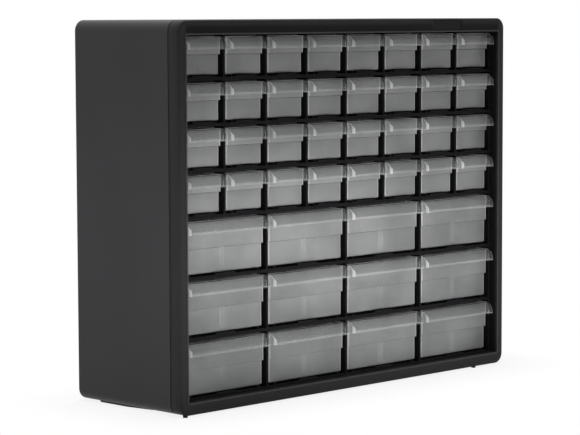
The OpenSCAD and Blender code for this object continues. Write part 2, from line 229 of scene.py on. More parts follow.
class SharedEffects:
    """Builds each shared node group once and places it in materials."""

    NOISE_MIDDLE = 0.5
    PIT_SHARE = 0.4
    FLAT_EDGE = 0.5
    WHITENED_EDGE: Span = (0.505, 0.6)
    WHITENED_SPOTS: Span = (0.35, 0.7)
    LOOKING_UP: Span = (0.55, 0.98)
    DUSTY_SPOTS: Span = (0.3, 0.75)

    def __init__(self) -> None:
        """Names the maker of each group and starts with none built."""
        self._makers: dict[Effect, Callable[[], bpy.types.NodeTree]] = {
            Effect.MOULDED_GRAIN: self._moulded_grain,
            Effect.EDGE_RUB: self._edge_rub_and_glow,
            Effect.DUST_FILM: self._dust_film,
        }
        self._built: dict[Effect, bpy.types.NodeTree] = {}

    def place(self, wiring: Wiring, effect: Effect, inputs: dict | None = None) -> bpy.types.Node:
        """Places a group in a material's tree.

        Args:
            wiring: The material's wiring.
            effect: The group to place.
            inputs: Values or sockets for some of the group's inputs.

        Returns:
            The group node.
        """
        if effect not in self._built:
            self._built[effect] = self._makers[effect]()
        return wiring.add("Group", inputs, node_tree=self._built[effect])

    @staticmethod
    def _begin(effect: Effect, inputs: dict[str, float],
               outputs: Sequence[str]) -> tuple[Wiring, bpy.types.Node, bpy.types.Node]:
        """Makes an empty group whose sockets all carry plain values.

        Args:
            effect: The effect that the group is for.
            inputs: Default values by input name.
            outputs: Names of the outputs.

        Returns:
            The group's wiring, its input node and its output node.
        """
        tree = bpy.data.node_groups.new(effect.value, "ShaderNodeTree")
        for name, value in inputs.items():
            socket = tree.interface.new_socket(name, in_out="INPUT", socket_type="NodeSocketFloat")
            socket.default_value = value
        for name in outputs:
            tree.interface.new_socket(name, in_out="OUTPUT", socket_type="NodeSocketFloat")
        return Wiring(tree), tree.nodes.new("NodeGroupInput"), tree.nodes.new("NodeGroupOutput")

    def _moulded_grain(self) -> bpy.types.NodeTree:
        """Makes the fine spark-eroded grain of a moulded face, and slow clouds in its gloss.

        Returns:
            The group. Grain and Waves are noise scales, and Spread is how far roughness wanders.
        """
        wiring, source, sink = self._begin(
            Effect.MOULDED_GRAIN, {"Grain": 900.0, "Waves": 9.0, "Spread": 0.08},
            ("Height", "Roughness Shift", "Cloud"))
        place, size = wiring.position(), source.outputs["Grain"]
        fine = wiring.add("TexNoise", {"Vector": place, "Scale": size, "Detail": 3.0, "Roughness": 0.6})
        pits = wiring.add("TexVoronoi", {"Vector": place, "Scale": size})
        slow = wiring.add("TexNoise", {"Vector": place, "Scale": source.outputs["Waves"], "Detail": 4.0})
        cloud = slow.outputs[0]
        height = wiring.math("MULTIPLY_ADD", pits.outputs["Distance"], self.PIT_SHARE, fine.outputs[0])
        wander = wiring.math("SUBTRACT", cloud, self.NOISE_MIDDLE)
        shift = wiring.math("MULTIPLY", wander, source.outputs["Spread"])
        wiring.feed(sink, {"Height": height, "Roughness Shift": shift, "Cloud": cloud})
        return wiring.tree

    def _edge_rub_and_glow(self) -> bpy.types.NodeTree:
        """Makes the lightening of edges, strongest on edges and broken up by noise: wear of handling, and on
        the trays a painted edge glow as well.

        Returns:
            The group. Edge is FLAT_EDGE on a flat face and more at an edge.
        """
        wiring, source, sink = self._begin(
            Effect.EDGE_RUB, {"Edge": self.FLAT_EDGE, "Amount": 0.5, "Scale": 120.0}, ("Mask",))
        noise = wiring.add("TexNoise", {"Vector": wiring.position(), "Scale": source.outputs["Scale"],
                                        "Detail": 5.0})
        edge = wiring.ramp(source.outputs["Edge"], *self.WHITENED_EDGE)
        broken = wiring.math("MULTIPLY", edge, wiring.ramp(noise.outputs[0], *self.WHITENED_SPOTS))
        mask = wiring.math("MULTIPLY", broken, source.outputs["Amount"], clamp=True)
        wiring.feed(sink, {"Mask": mask})
        return wiring.tree

    def _dust_film(self) -> bpy.types.NodeTree:
        """Makes the thin dust that settles on faces which look up.

        Returns:
            The group, with the dust's mask.
        """
        wiring, source, sink = self._begin(Effect.DUST_FILM, {"Amount": 0.2, "Scale": 220.0}, ("Mask",))
        upward = wiring.parts(wiring.add("NewGeometry").outputs["Normal"])[2]
        noise = wiring.add("TexNoise", {"Vector": wiring.position(), "Scale": source.outputs["Scale"],
                                        "Detail": 6.0, "Roughness": 0.7})
        spots = wiring.ramp(noise.outputs[0], *self.DUSTY_SPOTS)
        settled = wiring.math("MULTIPLY", wiring.ramp(upward, *self.LOOKING_UP), spots)
        mask = wiring.math("MULTIPLY", settled, source.outputs["Amount"], clamp=True)
        wiring.feed(sink, {"Mask": mask})
        return wiring.tree


# ---------------------------------------------------------------- finishes

CLOUD_SPAN: Span = (0.3, 0.7)  # noise values between which the slow clouds change
GRAIN_DEPTH = 0.02
DUST_COLOUR: Colour = (0.32, 0.31, 0.29)


@dataclass(frozen=True)
class FrontOutline:
    """The cabinet's outline as its front shows it, without the feet.

    Attributes:
        half_width: Half its width.
        low: Height of its underside over the floor.
        high: Height of its top over the floor.
    """

    half_width: float = CAD_BOX[1][0] / MM
    low: float = 1.4
    high: float = CAD_BOX[1][2] / MM

    def depth_inside(self, wiring: Wiring) -> Socket:
        """Measures how far a point lies inside the outline.

        Args:
            wiring: The material's wiring.

        Returns:
            The distance to the nearest side, in metres.
        """
        x, _, z = wiring.parts(wiring.position())
        across = wiring.math("SUBTRACT", self.half_width * MM, wiring.math("ABSOLUTE", x))
        under = wiring.math("SUBTRACT", self.high * MM, z)
        above = wiring.math("SUBTRACT", z, self.low * MM)
        return wiring.math("MINIMUM", across, wiring.math("MINIMUM", under, above))


@dataclass(frozen=True)
class BezelPaintedLight:
    """Tones of the bezel by place: deep on the head face and inner walls, light on the lip.

    Attributes:
        deep: Painted shade colour of the head face and the inner walls.
        light: Painted highlight colour of the raised lip's face.
        lip_y: Depth up to which the lip's painted highlight is full, just behind its face.
        lip_ease: Over how much depth the lip's painted highlight ends.
        head_z: Where the head face starts.
        head_ease: Over how much height it starts.
        under_top: How far under the top the head's painted shade starts, and where it is full.
        inside_bar: The same from the outside of the side bars.
        inside_rim: The same for the inner walls, from the outline.
        behind_lip: The same for the inner walls, from lip_y.
    """

    deep: Colour
    light: Colour
    lip_y: float = -80.9
    lip_ease: float = 0.3
    head_z: float = 379.6
    head_ease: float = 1.0
    under_top: Span = (2.0, 9.0)
    inside_bar: Span = (9.0, 12.0)
    inside_rim: Span = (3.0, 5.0)
    behind_lip: Span = (1.5, 4.0)

    def _head_face(self, wiring: Wiring, outline: FrontOutline) -> Socket:
        """Masks the head face between the side bars, where shade is painted.

        Args:
            wiring: The material's wiring.
            outline: The front's outline.

        Returns:
            The mask.
        """
        x, _, z = wiring.parts(wiring.position())
        above = wiring.ramp(z, self.head_z * MM, (self.head_z + self.head_ease) * MM)
        below = wiring.ramp(z, *((outline.high - gap) * MM for gap in self.under_top))
        between = wiring.ramp(wiring.math("ABSOLUTE", x),
                              *((outline.half_width - gap) * MM for gap in self.inside_bar))
        return wiring.math("MULTIPLY", wiring.math("MULTIPLY", above, below), between)

    def _inner_walls(self, wiring: Wiring, outline: FrontOutline) -> Socket:
        """Masks the walls behind the lip and inside the outline, where shade is painted.

        Args:
            wiring: The material's wiring.
            outline: The front's outline.

        Returns:
            The mask.
        """
        _, y, _ = wiring.parts(wiring.position())
        inside = wiring.ramp(outline.depth_inside(wiring), *(gap * MM for gap in self.inside_rim))
        behind = wiring.ramp(y, *((self.lip_y + gap) * MM for gap in self.behind_lip))
        return wiring.math("MULTIPLY", inside, behind)

    def over(self, wiring: Wiring, outline: FrontOutline, colour: Socket) -> Socket:
        """Lays the painted shade and the painted highlight over a colour.

        Args:
            wiring: The material's wiring.
            outline: The front's outline.
            colour: The plain colour.

        Returns:
            The colour with painted shade and painted highlight.
        """
        _, y, _ = wiring.parts(wiring.position())
        # painted shade on the head face and the inner walls, painted highlight on the lip
        painted_shade_mask = wiring.math("MAXIMUM", self._head_face(wiring, outline), self._inner_walls(wiring, outline))
        raised = wiring.ramp(y, (self.lip_y + self.lip_ease) * MM, self.lip_y * MM)
        return wiring.mix(raised, wiring.mix(painted_shade_mask, colour, self.deep), self.light)


@dataclass(frozen=True)
class MouldedBlack:
    """Opaque moulded plastic, black or charcoal, with grain, rubbed edges, dust and, where it has them,
    painted shade and highlight.

    Attributes:
        name: The material's name.
        colour: Colour of a clean face.
        worn: Colour of a rubbed edge.
        gloss: Strength of the reflections.
        roughness: Roughness of a clean face.
        dust: Most dust on a level face.
        rub_and_glow: Most wear on an edge.
        edge_reach: How far from an edge the wear goes.
        cloud_gain: How much lighter the slow clouds get.
        rough_dust: Roughness that full dust adds.
        rim_round: Radius that the outer rim is shaded with, or 0.
        lip_round: Radius that the other edges are then shaded with.
        rim_span: Where the rim's radius starts to change inside the outline, and where it ends.
        painted_light: Painted shade and painted highlight by place, if the piece has them.
        outline: The front's outline.
    """

    name: str
    colour: Colour
    worn: Colour
    gloss: float
    roughness: float = 0.42
    dust: float = 0.05
    rub_and_glow: float = 0.5
    edge_reach: float = 1.2
    cloud_gain: float = 1.12
    rough_dust: float = 0.8
    rim_round: float = 0.0
    lip_round: float = 1.0
    rim_span: Span = (5.4, 9.0)
    painted_light: BezelPaintedLight | None = None
    outline: FrontOutline = FrontOutline()

    def _edge(self, wiring: Wiring) -> Socket:
        """Finds edges by how far an eased normal turns away from the face's own.

        Args:
            wiring: The material's wiring.

        Returns:
            The value that the edge wear reads.
        """
        near = wiring.add("Bevel", {"Radius": self.edge_reach * MM}, samples=4)
        own = wiring.add("NewGeometry").outputs["Normal"]
        turned = wiring.add("VectorMath", {0: near.outputs[0], 1: own}, operation="DOT_PRODUCT")
        return wiring.math("SUBTRACT", 1.0 + SharedEffects.FLAT_EDGE, turned.outputs["Value"])

    def _colour(self, wiring: Wiring, cloud: Socket) -> Socket:
        """Gives the clean face's colour, with its slow clouds and any painted shade and highlight.

        Args:
            wiring: The material's wiring.
            cloud: The grain's slow noise.

        Returns:
            The colour.
        """
        lighter = scaled(self.colour, self.cloud_gain)
        clouded = wiring.mix(wiring.ramp(cloud, *CLOUD_SPAN), self.colour, lighter)
        # painted shade and painted highlight by place, on the pieces that have them
        return self.painted_light.over(wiring, self.outline, clouded) if self.painted_light else clouded

    def _normal(self, wiring: Wiring, height: Socket) -> Socket:
        """Gives the normal with the grain, and with a rounder outer rim where it has one.

        Args:
            wiring: The material's wiring.
            height: The grain's height.

        Returns:
            The normal.
        """
        bump = wiring.bump(height, GRAIN_DEPTH)
        if self.rim_round:
            radius = wiring.ramp(self.outline.depth_inside(wiring), *(gap * MM for gap in self.rim_span),
                                 self.rim_round * MM, self.lip_round * MM)
            eased = wiring.add("Bevel", {"Radius": radius}, samples=8)
            wiring.feed(bump, {"Normal": eased.outputs[0]})
        return bump.outputs[0]

    def material(self, effects: SharedEffects) -> bpy.types.Material:
        """Builds the material.

        Args:
            effects: The shared node groups.

        Returns:
            The material.
        """
        material, wiring, shader = new_material(self.name)
        grain = effects.place(wiring, Effect.MOULDED_GRAIN)
        rub_and_glow = effects.place(wiring, Effect.EDGE_RUB, {"Edge": self._edge(wiring), "Amount": self.rub_and_glow})
        dust = effects.place(wiring, Effect.DUST_FILM, {"Amount": self.dust}).outputs["Mask"]
        rubbed = wiring.mix(rub_and_glow.outputs["Mask"], self._colour(wiring, grain.outputs["Cloud"]), self.worn)
        dulled = wiring.math("MULTIPLY_ADD", dust, self.rough_dust, self.roughness)
        wiring.feed(shader, {
            "Base Color": wiring.mix(dust, rubbed, DUST_COLOUR),
            "Roughness": wiring.math("ADD", grain.outputs["Roughness Shift"], dulled),
            "Specular IOR Level": self.gloss,
            "Normal": self._normal(wiring, grain.outputs["Height"]),
        })
        return material


@dataclass(frozen=True, eq=False)
class TrayLook:
    """How the plastic looks in one part of a tray, its painted glow and shade included.

    Two looks with the same values stay two looks, so that no zone becomes another's alias.

    Attributes:
        density: Opacity of one surface.
        milk_and_glow: Share of the milky colour over the smoke, partly the plastic's own and partly painted
            light: glow where high, a shade line at the ledge.
    """

    density: float
    milk_and_glow: float


class Zone(Enum):
    """Parts of a tray, each with its own look; rims, corners, ribs and bends carry painted glow, the ledge a
    painted shade line.
    """

    FRONT = TrayLook(0.52, 0.175)  # outer face of the front wall
    INNER = TrayLook(0.08, 0.70)  # inner face of the front wall
    WALL = TrayLook(0.38, 0.45)  # side and rear walls
    FLOOR = TrayLook(0.50, 0.50)
    LEDGE = TrayLook(0.12, 0.00)  # step between the lower and the upper body, not milky: a painted shade line
    # very milky rim: painted glow
    RIM = TrayLook(0.60, 0.85)
    CORNER = TrayLook(0.42, 0.80)  # upright round corners, very milky: a painted highlight
    RIB = TrayLook(0.90, 1.00)  # divider ribs at the front wall, fully milky: painted glow
    SLOT = TrayLook(0.10, 0.40)  # the other divider ribs
    SHELL = TrayLook(0.12, 0.00)  # curved face of the pull
    WEB = TrayLook(0.10, 0.60)  # flat ends of the pull
    BEND = TrayLook(0.50, 1.00)  # curved ends of the pull's hollow, fully milky: a painted highlight streak
    GRIP = TrayLook(0.12, 0.45)  # thick lower edge of the pull


DENSITY_MARK = "plastic_density"  # face attributes that carry each zone's look, painted glow and shade included, to the finish
MILK_AND_GLOW_MARK = "plastic_milk"


@dataclass(frozen=True)
class SmokePlastic:
    """Translucent smoke-grey plastic of the trays, denser where it is thick, and lighter by zone: partly its
    own milky colour, partly painted glow, with a painted shade line at the step.

    Attributes:
        name: The material's name.
        smoke: Colour of the plastic.
        milk_and_glow: Colour where light gathers in it, partly the plastic's own milky colour and partly
            painted glow.
        roughness: Roughness of a clean face.
        ior: Index of refraction, for the reflections.
        edge_density: Opacity that a face gains as it turns away.
        edge_blend: How soon that starts.
        rub_and_glow: Most lightening of an edge towards the milky colour, partly wear and partly painted edge
            glow, and rub_and_glow_scale the scale of its noise.
        dust: Most dust on a level face, and dust_scale the scale of its noise.
        grain: Scale of the fine waves.
        waves: Scale of the slow waves.
        spread: How far the roughness wanders.
        flow: Stretch of the streaks that the melt leaves, and flow_scale their scale.
        smoke_span: Darkest and lightest share of the smoke colour in the streaks.
        milk_and_glow_noise: Span of the slow noise that the milky colour, painted glow included, follows.
        milk_and_glow_span: Least and most share of the zone's milky colour, painted glow included.
    """

    name: str
    smoke: Colour
    milk_and_glow: Colour
    roughness: float = 0.34
    ior: float = 1.75
    edge_density: float = 0.08
    edge_blend: float = 0.35
    rub_and_glow: float = 0.04
    rub_and_glow_scale: float = 300.0
    dust: float = 0.06
    dust_scale: float = 160.0
    grain: float = 45.0
    waves: float = 16.0
    spread: float = 0.10
    flow: Point = (0.35, 0.35, 1.6)
    flow_scale: float = 60.0
    smoke_span: Span = (0.96, 1.10)
    milk_and_glow_noise: Span = (0.33, 0.67)
    milk_and_glow_span: Span = (0.72, 1.28)

    def _colour(self, wiring: Wiring, cloud: Socket) -> Socket:
        """Gives the streaky smoke colour with the zone's milky colour over it, painted glow and shade
        included.

        Args:
            wiring: The material's wiring.
            cloud: The grain's slow noise.

        Returns:
            The colour.
        """
        # milky share by zone: partly the plastic's own, partly painted glow and a painted shade line at the
        # step
        milk_and_glow_share = wiring.add("Attribute", attribute_name=MILK_AND_GLOW_MARK).outputs["Fac"]
        flow = wiring.add("Mapping", {"Vector": wiring.position(), "Scale": self.flow})
        streaks = wiring.add("TexNoise", {"Vector": flow.outputs[0], "Scale": self.flow_scale, "Detail": 2.0})
        smoke = wiring.mix(wiring.ramp(streaks.outputs[0], *CLOUD_SPAN),
                           *(scaled(self.smoke, share) for share in self.smoke_span))
        clouded_milk_and_glow = wiring.math("MULTIPLY", milk_and_glow_share, wiring.ramp(cloud, *self.milk_and_glow_noise, *self.milk_and_glow_span))
        return wiring.mix(clouded_milk_and_glow, smoke, self.milk_and_glow)

    def _opacity(self, wiring: Wiring, dust: Socket) -> Socket:
        """Gives the zone's opacity, more at grazing faces and at least the dust's.

        Args:
            wiring: The material's wiring.
            dust: The dust's mask.

        Returns:
            The opacity.
        """
        density = wiring.add("Attribute", attribute_name=DENSITY_MARK).outputs["Fac"]
        facing = wiring.add("LayerWeight", {"Blend": self.edge_blend}).outputs["Facing"]
        alpha = wiring.math("MULTIPLY_ADD", facing, self.edge_density, density, clamp=True)
        return wiring.math("MAXIMUM", alpha, dust)

    def material(self, effects: SharedEffects) -> bpy.types.Material:
        """Builds the material.

        Args:
            effects: The shared node groups.

        Returns:
            The material.
        """
        material, wiring, shader = new_material(self.name)
        grain = effects.place(wiring, Effect.MOULDED_GRAIN,
                              {"Grain": self.grain, "Waves": self.waves, "Spread": self.spread})
        # edges lightened towards the milky colour by pointiness: partly wear, partly painted edge glow
        edge = wiring.add("NewGeometry").outputs["Pointiness"]
        rub_and_glow = effects.place(wiring, Effect.EDGE_RUB,
                            {"Edge": edge, "Amount": self.rub_and_glow, "Scale": self.rub_and_glow_scale})
        dust = effects.place(wiring, Effect.DUST_FILM, {"Amount": self.dust, "Scale": self.dust_scale})
        colour = self._colour(wiring, grain.outputs["Cloud"])
        wiring.feed(shader, {
            "Base Color": wiring.mix(rub_and_glow.outputs["Mask"], colour, self.milk_and_glow),
            "Roughness": wiring.math("ADD", grain.outputs["Roughness Shift"], self.roughness),
            "IOR": self.ior,
            "Alpha": self._opacity(wiring, dust.outputs["Mask"]),
            "Normal": wiring.bump(grain.outputs["Height"], GRAIN_DEPTH).outputs[0],
        })
        return material


class Finish(Enum):
    """The finishes of the cabinet, by the record's material slot."""

    HOUSING = "housing_plastic"
    BEZEL = "bezel_plastic"
    PLATE = "plate_plastic"
    RACK = "rack_plastic"
    DRAWER = "drawer_plastic"


class FinishBook:
    """Makes each finish's material once and hands it out."""

    RECIPES = {
        Finish.HOUSING: MouldedBlack(
            "charcoal_housing", (0.033, 0.033, 0.035), worn=(0.07, 0.07, 0.072), gloss=0.12),
        Finish.BEZEL: MouldedBlack(
            "black_bezel", (0.026, 0.026, 0.0275), worn=(0.07, 0.07, 0.072), gloss=0.04, rim_round=8.0,
            # painted shade (deep) on the head face and inner walls, painted highlight (light) on the lip
            painted_light=BezelPaintedLight(deep=(0.009, 0.009, 0.0095), light=(0.055, 0.055, 0.057))),
        Finish.PLATE: MouldedBlack(
            "bare_plate", (0.018, 0.018, 0.0195), worn=(0.05, 0.05, 0.05), gloss=0.03, roughness=0.5),
        Finish.RACK: MouldedBlack(
            "black_rack", (0.0065, 0.0065, 0.0075), worn=(0.04, 0.04, 0.042), gloss=0.03, roughness=0.5,
            dust=0.03),
        Finish.DRAWER: SmokePlastic("smoke_trays", smoke=(0.115, 0.120, 0.120), milk_and_glow=(0.96, 0.97, 0.965)),
    }

    def __init__(self) -> None:
        """Starts with no material made."""
        self._effects = SharedEffects()
        self._made: dict[Finish, bpy.types.Material] = {}

    def material(self, finish: Finish) -> bpy.types.Material:
        """Gives a finish's material, making it at the first call.

        Args:
            finish: The finish.

        Returns:
            Its material.
        """
        if finish not in self._made:
            self._made[finish] = self.RECIPES[finish].material(self._effects)
        return self._made[finish]

    def dress(self, thing: bpy.types.Object, finish: Finish) -> None:
        """Gives an object one finish in place of all that it has."""
        thing.data.materials.clear()
        thing.data.materials.append(self.material(finish))


# ---------------------------------------------------------------- mesh helpers

QUARTER_TURN = tuple(math.radians(30 * step) for step in range(4))  # points of a rounded edge
ARC_MIDDLE = 0.3  # the middle of a rounded corner lies this share of its radius inside both faces
WELD_GAP = 2e-6  # metres


class Meeting(Enum):
    """What a tool mesh does to the mesh that it meets."""

    JOIN = "UNION"
    CUT = "DIFFERENCE"
    TRIM = "INTERSECT"


Tool = tuple[Meeting, bpy.types.Mesh]


@dataclass(frozen=True)
class Ring:
    """One level of a tray wall: a rectangle with round corners, seen from above.

    Attributes:
        half_w: Half its width.
        front: Y of its front side.
        rear: Y of its rear side.
        radius: Radius of its corners.
        z: Its height.
        least_radius: Smallest radius that a corner may have.
    """

    half_w: float
    front: float
    rear: float
    radius: float
    z: float
    least_radius: float = 0.15

    def points(self, steps: int) -> list[Point]:
        """Walks round the ring, against the clock seen from above.

        Args:
            steps: Straight pieces in each corner.

        Returns:
            The ring's points in millimetres.
        """
        r = max(self.radius, self.least_radius)
        corners = ((self.half_w - r, self.front + r, -90), (self.half_w - r, self.rear - r, 0),
                   (-self.half_w + r, self.rear - r, 90), (-self.half_w + r, self.front + r, 180))
        found = []
        for x, y, start in corners:
            for step in range(steps + 1):
                angle = math.radians(start + 90 * step / steps)
                found.append((x + r * math.cos(angle), y + r * math.sin(angle), self.z))
        return found


def lofted(loops: Sequence[Sequence[Point]], name: str) -> bpy.types.Mesh:
    """Closes a stack of loops with the same number of points into a solid.

    Args:
        loops: The loops from one cap to the other, in millimetres.
        name: The mesh's name.

    Returns:
        A closed mesh in metres.
    """
    made = bmesh.new()
    rows = [[made.verts.new(Vector(p) * MM) for p in loop] for loop in loops]
    for low, high in zip(rows, rows[1:]):
        for i in range(len(low)):
            j = (i + 1) % len(low)
            made.faces.new((low[i], low[j], high[j], high[i]))
    made.faces.new(reversed(rows[0]))
    made.faces.new(rows[-1])
    bmesh.ops.recalc_face_normals(made, faces=made.faces)
    mesh = bpy.data.meshes.new(name)
    made.to_mesh(mesh)
    made.free()
    return mesh


def inset_loop(outline: Sequence[tuple[float, float]], amount: float) -> list[tuple[float, float]]:
    """Moves a convex outline inward.

    Args:
        outline: Points against the clock.
        amount: How far each side moves in, in millimetres.

    Returns:
        The same number of points, inside the outline.
    """
    least_turn = 0.35  # keeps the point of a sharp corner from moving too far
    moved = []
    count = len(outline)
    for i, here in enumerate(outline):
        before, after = Vector(outline[i - 1]), Vector(outline[(i + 1) % count])
        first = (Vector(here) - before).normalized()
        second = (after - Vector(here)).normalized()
        inward = Vector((-first.y - second.y, first.x + second.x))
        turn = max(least_turn, 1 + first.dot(second))
        moved.append(tuple(Vector(here) + inward * (amount / turn)))
    return moved


def bar_along_x(outline: Sequence[tuple[float, float]], low: float, high: float, edge: float,
                name: str) -> bpy.types.Mesh:
    """Extrudes a convex outline in the YZ plane along X, with rounded end edges.

    Args:
        outline: Points (y, z) against the clock seen from +X.
        low: X of the left end.
        high: X of the right end.
        edge: Radius of the edges round both ends, or 0 for square ends.
        name: The mesh's name.

    Returns:
        A closed mesh in metres.
    """
    turns = QUARTER_TURN if edge else QUARTER_TURN[-1:]
    ends = [(edge * (1 - math.sin(angle)), edge * (1 - math.cos(angle))) for angle in turns]
    loops = [[(low + out, y, z) for y, z in inset_loop(outline, cut)] for cut, out in ends]
    loops += [[(high - out, y, z) for y, z in inset_loop(outline, cut)] for cut, out in reversed(ends)]
    return lofted(loops, name)


def combined(base: bpy.types.Mesh, tools: Iterable[Tool], name: str) -> bpy.types.Mesh:
    """Joins meshes to a base mesh, cuts them from it or trims it to them.

    Args:
        base: The mesh to start from.
        tools: What each tool does and its closed mesh, in order.
        name: Name of the result.

    Returns:
        One closed mesh.
    """
    scene = bpy.context.scene.collection.objects
    body = bpy.data.objects.new(name, base)
    scene.link(body)
    for meeting, mesh in tools:
        tool = bpy.data.objects.new(name + "_tool", mesh)
        scene.link(tool)
        step = body.modifiers.new("step", "BOOLEAN")
        step.operation, step.solver, step.object = meeting.value, "EXACT", tool
        result = bpy.data.meshes.new_from_object(body.evaluated_get(bpy.context.evaluated_depsgraph_get()))
        body.modifiers.clear()
        body.data = result
        bpy.data.objects.remove(tool)
    mesh = body.data
    bpy.data.objects.remove(body)
    mesh.name = name
    return mesh


def cleaned(mesh: bpy.types.Mesh, sharp_deg: float = 38.0) -> bpy.types.Mesh:
    """Welds a mesh's loose ends and shades it smooth up to an angle.

    Args:
        mesh: The mesh to clean.
        sharp_deg: Edges that turn by more than this stay sharp.

    Returns:
        The same mesh.
    """
    made = bmesh.new()
    made.from_mesh(mesh)
    bmesh.ops.remove_doubles(made, verts=made.verts, dist=WELD_GAP)
    bmesh.ops.dissolve_degenerate(made, edges=made.edges, dist=WELD_GAP)
    bmesh.ops.recalc_face_normals(made, faces=made.faces)
    for face in made.faces:
        face.smooth = True
    made.to_mesh(mesh)
    made.free()
    mesh.set_sharp_from_angle(angle=math.radians(sharp_deg))
    return mesh


# ---------------------------------------------------------------- drawers


@dataclass(frozen=True)
class DrawerSizes:
    """Sizes of one kind of drawer, the same as the solid's.

    Attributes:
        width: Overall width.
        height: Height of the rim over the underside.
        step: Height where the upper body starts.
        middle_slot: Whether it has a slot for a lengthwise divider, and two for cross dividers.
        length: From the front wall to the rear wall's outside.
        wall: Wall thickness.
        floor: Floor thickness.
        corner: Radius of the upright corners.
        step_in: How far the lower body stands in at the sides and the rear.
        step_back: How far it stands in at the front.
        reach: How far the pull stands out.
        pull_radius: Radius of its curve.
        pull_wall: Thickness of its shell.
        skirt: Height of its straight face under the curve.
        grip_h: Height of its thick lower edge, and grip_t its depth.
        web: Thickness of its ends.
        rib: Thickness of the divider ribs, and slot the gap between two of them.
        middle_gap: The same gap for the lengthwise divider.
        tab_w: Width of the stop tab, tab_t its thickness and tab_h its drop.
        tab_inset: From the rear wall's outside to the tab.
    """

    width: float
    height: float
    step: float
    middle_slot: bool
    length: float = 133.0
    wall: float = 1.5
    floor: float = 1.6
    corner: float = 2.6
    step_in: float = 0.8
    step_back: float = 2.0
    reach: float = 10.0
    pull_radius: float = 12.0
    pull_wall: float = 1.3
    skirt: float = 1.0
    grip_h: float = 2.5
    grip_t: float = 2.0
    web: float = 1.2
    rib: float = 1.1
    slot: float = 1.8
    middle_gap: float = 3.4
    tab_w: float = 14.0
    tab_t: float = 2.0
    tab_h: float = 1.8
    tab_inset: float = 18.0

    @property
    def pull_centre(self) -> tuple[float, float]:
        """Centre (y, z) of the pull's curve, which starts at the rim of the front wall."""
        y = self.pull_radius - self.reach
        return y, self.height - math.sqrt(self.pull_radius ** 2 - y ** 2)

    @property
    def pull_bottom(self) -> float:
        """Height of the pull's lower edge."""
        return self.pull_centre[1] - self.skirt


class DrawerKind(Enum):
    """The two kinds of drawer."""

    SMALL = DrawerSizes(width=54.0, height=38.8, step=20.4, middle_slot=False)
    LARGE = DrawerSizes(width=114.5, height=54.1, step=25.4, middle_slot=True)


@dataclass(frozen=True)
class ZoneMap:
    """Tells which part of a drawer each face belongs to, by its middle and its normal, and so where glow and
    shade are painted.

    Attributes:
        sizes: The drawer's sizes.
        soft: Radius of the rim's and the step's edges.
        slack: How far past a limit a face still counts.
        near: How far from the step a level face is its ledge, with the painted shade line, and how deep the
            front ribs are.
        square: Part of a normal from which a face is square to that axis.
        level: The same for a face that is level or upright but for a mould's ease.
        tilt: Upward part of a normal up to which a face is upright.
        aside: Sideways part of a normal from which a face of the pull belongs to its ends.
        bend: Sideways parts of a normal between which the hollow's end gets a painted highlight streak.
    """

    sizes: DrawerSizes
    soft: float
    slack: float = 0.05
    near: float = 2.0
    square: float = 0.99
    level: float = 0.9
    tilt: float = 0.1
    aside: float = 0.12
    bend: Span = (0.5, 0.9)

    def _pull_zone(self, centre: Vector, normal: Vector) -> Zone:
        """Tells which part of the pull a face belongs to.

        Args:
            centre: The face's middle, in millimetres.
            normal: The face's normal.

        Returns:
            The face's zone.
        """
        sizes = self.sizes
        aside, upward = abs(normal.x), abs(normal.z)
        under = centre.z < sizes.pull_bottom + sizes.grip_h + self.slack
        before = centre.y < -sizes.reach + sizes.grip_t + 2 * self.slack
        if under and before and abs(centre.x) < sizes.width / 2 - sizes.web:
            return Zone.GRIP
        if aside <= self.aside:
            return Zone.SHELL
        if aside > self.square:
            return Zone.WEB
        if upward >= self.tilt:
            return Zone.CORNER
        # a narrow band of the hollow's end gets the painted highlight streak, the rest stays web
        return Zone.BEND if self.bend[0] < aside < self.bend[1] else Zone.WEB

    def _in_slots(self, centre: Vector) -> bool:
        """Tells whether a point lies inside the lower body, where only ribs are.

        Args:
            centre: The point, in millimetres.

        Returns:
            Whether it does.
        """
        sizes = self.sizes
        across = abs(centre.x) < sizes.width / 2 - sizes.step_in - sizes.wall - self.slack
        along = sizes.step_back + sizes.wall < centre.y < sizes.length - sizes.step_in - sizes.wall
        return sizes.floor < centre.z < sizes.step and across and along

    def _tray_zone(self, centre: Vector, normal: Vector) -> Zone:
        """Tells which part of the tray a face belongs to.

        Args:
            centre: The face's middle, in millimetres.
            normal: The face's normal.

        Returns:
            The face's zone.
        """
        sizes = self.sizes
        upward, from_step = abs(normal.z), abs(centre.z - sizes.step)
        front_inside = sizes.step_back + sizes.wall
        # the step's rounding and the faces just under it get the ledge's painted shade line
        at_step = centre.y < sizes.wall and from_step < self.soft + self.slack
        if at_step and (upward > self.tilt or centre.z < sizes.step):
            return Zone.LEDGE
        if centre.z > sizes.height - self.soft - self.slack:
            return Zone.RIM
        if upward < self.tilt and max(abs(normal.x), abs(normal.y)) <= self.square:
            return Zone.CORNER
        if upward > self.level:
            # level faces near the step also get the painted shade line
            return Zone.LEDGE if from_step < self.near else Zone.FLOOR
        if centre.y < front_inside + 2 * self.slack and abs(normal.y) > self.level:
            return Zone.FRONT if normal.y < 0 else Zone.INNER
        if self._in_slots(centre):
            return Zone.RIB if centre.y < front_inside + self.near else Zone.SLOT
        return Zone.WALL

    def zone(self, centre: Vector, normal: Vector) -> Zone:
        """Tells which part of the drawer a face belongs to.

        Args:
            centre: The face's middle, in millimetres.
            normal: The face's normal.

        Returns:
            The face's zone.
        """
        if centre.y < -self.slack:
            return self._pull_zone(centre, normal)
        return self._tray_zone(centre, normal)

    def mark(self, mesh: bpy.types.Mesh) -> None:
        """Writes each face's opacity and milky share, which carries its painted glow and shade.

        Args:
            mesh: The drawer's mesh, in metres.
        """
        looks = [self.zone(face.center / MM, face.normal).value for face in mesh.polygons]
        marks = {DENSITY_MARK: [look.density for look in looks], MILK_AND_GLOW_MARK: [look.milk_and_glow for look in looks]}
        for name, values in marks.items():
            mark = mesh.attributes.new(name, "FLOAT", "FACE")
            mark.data.foreach_set("value", values)


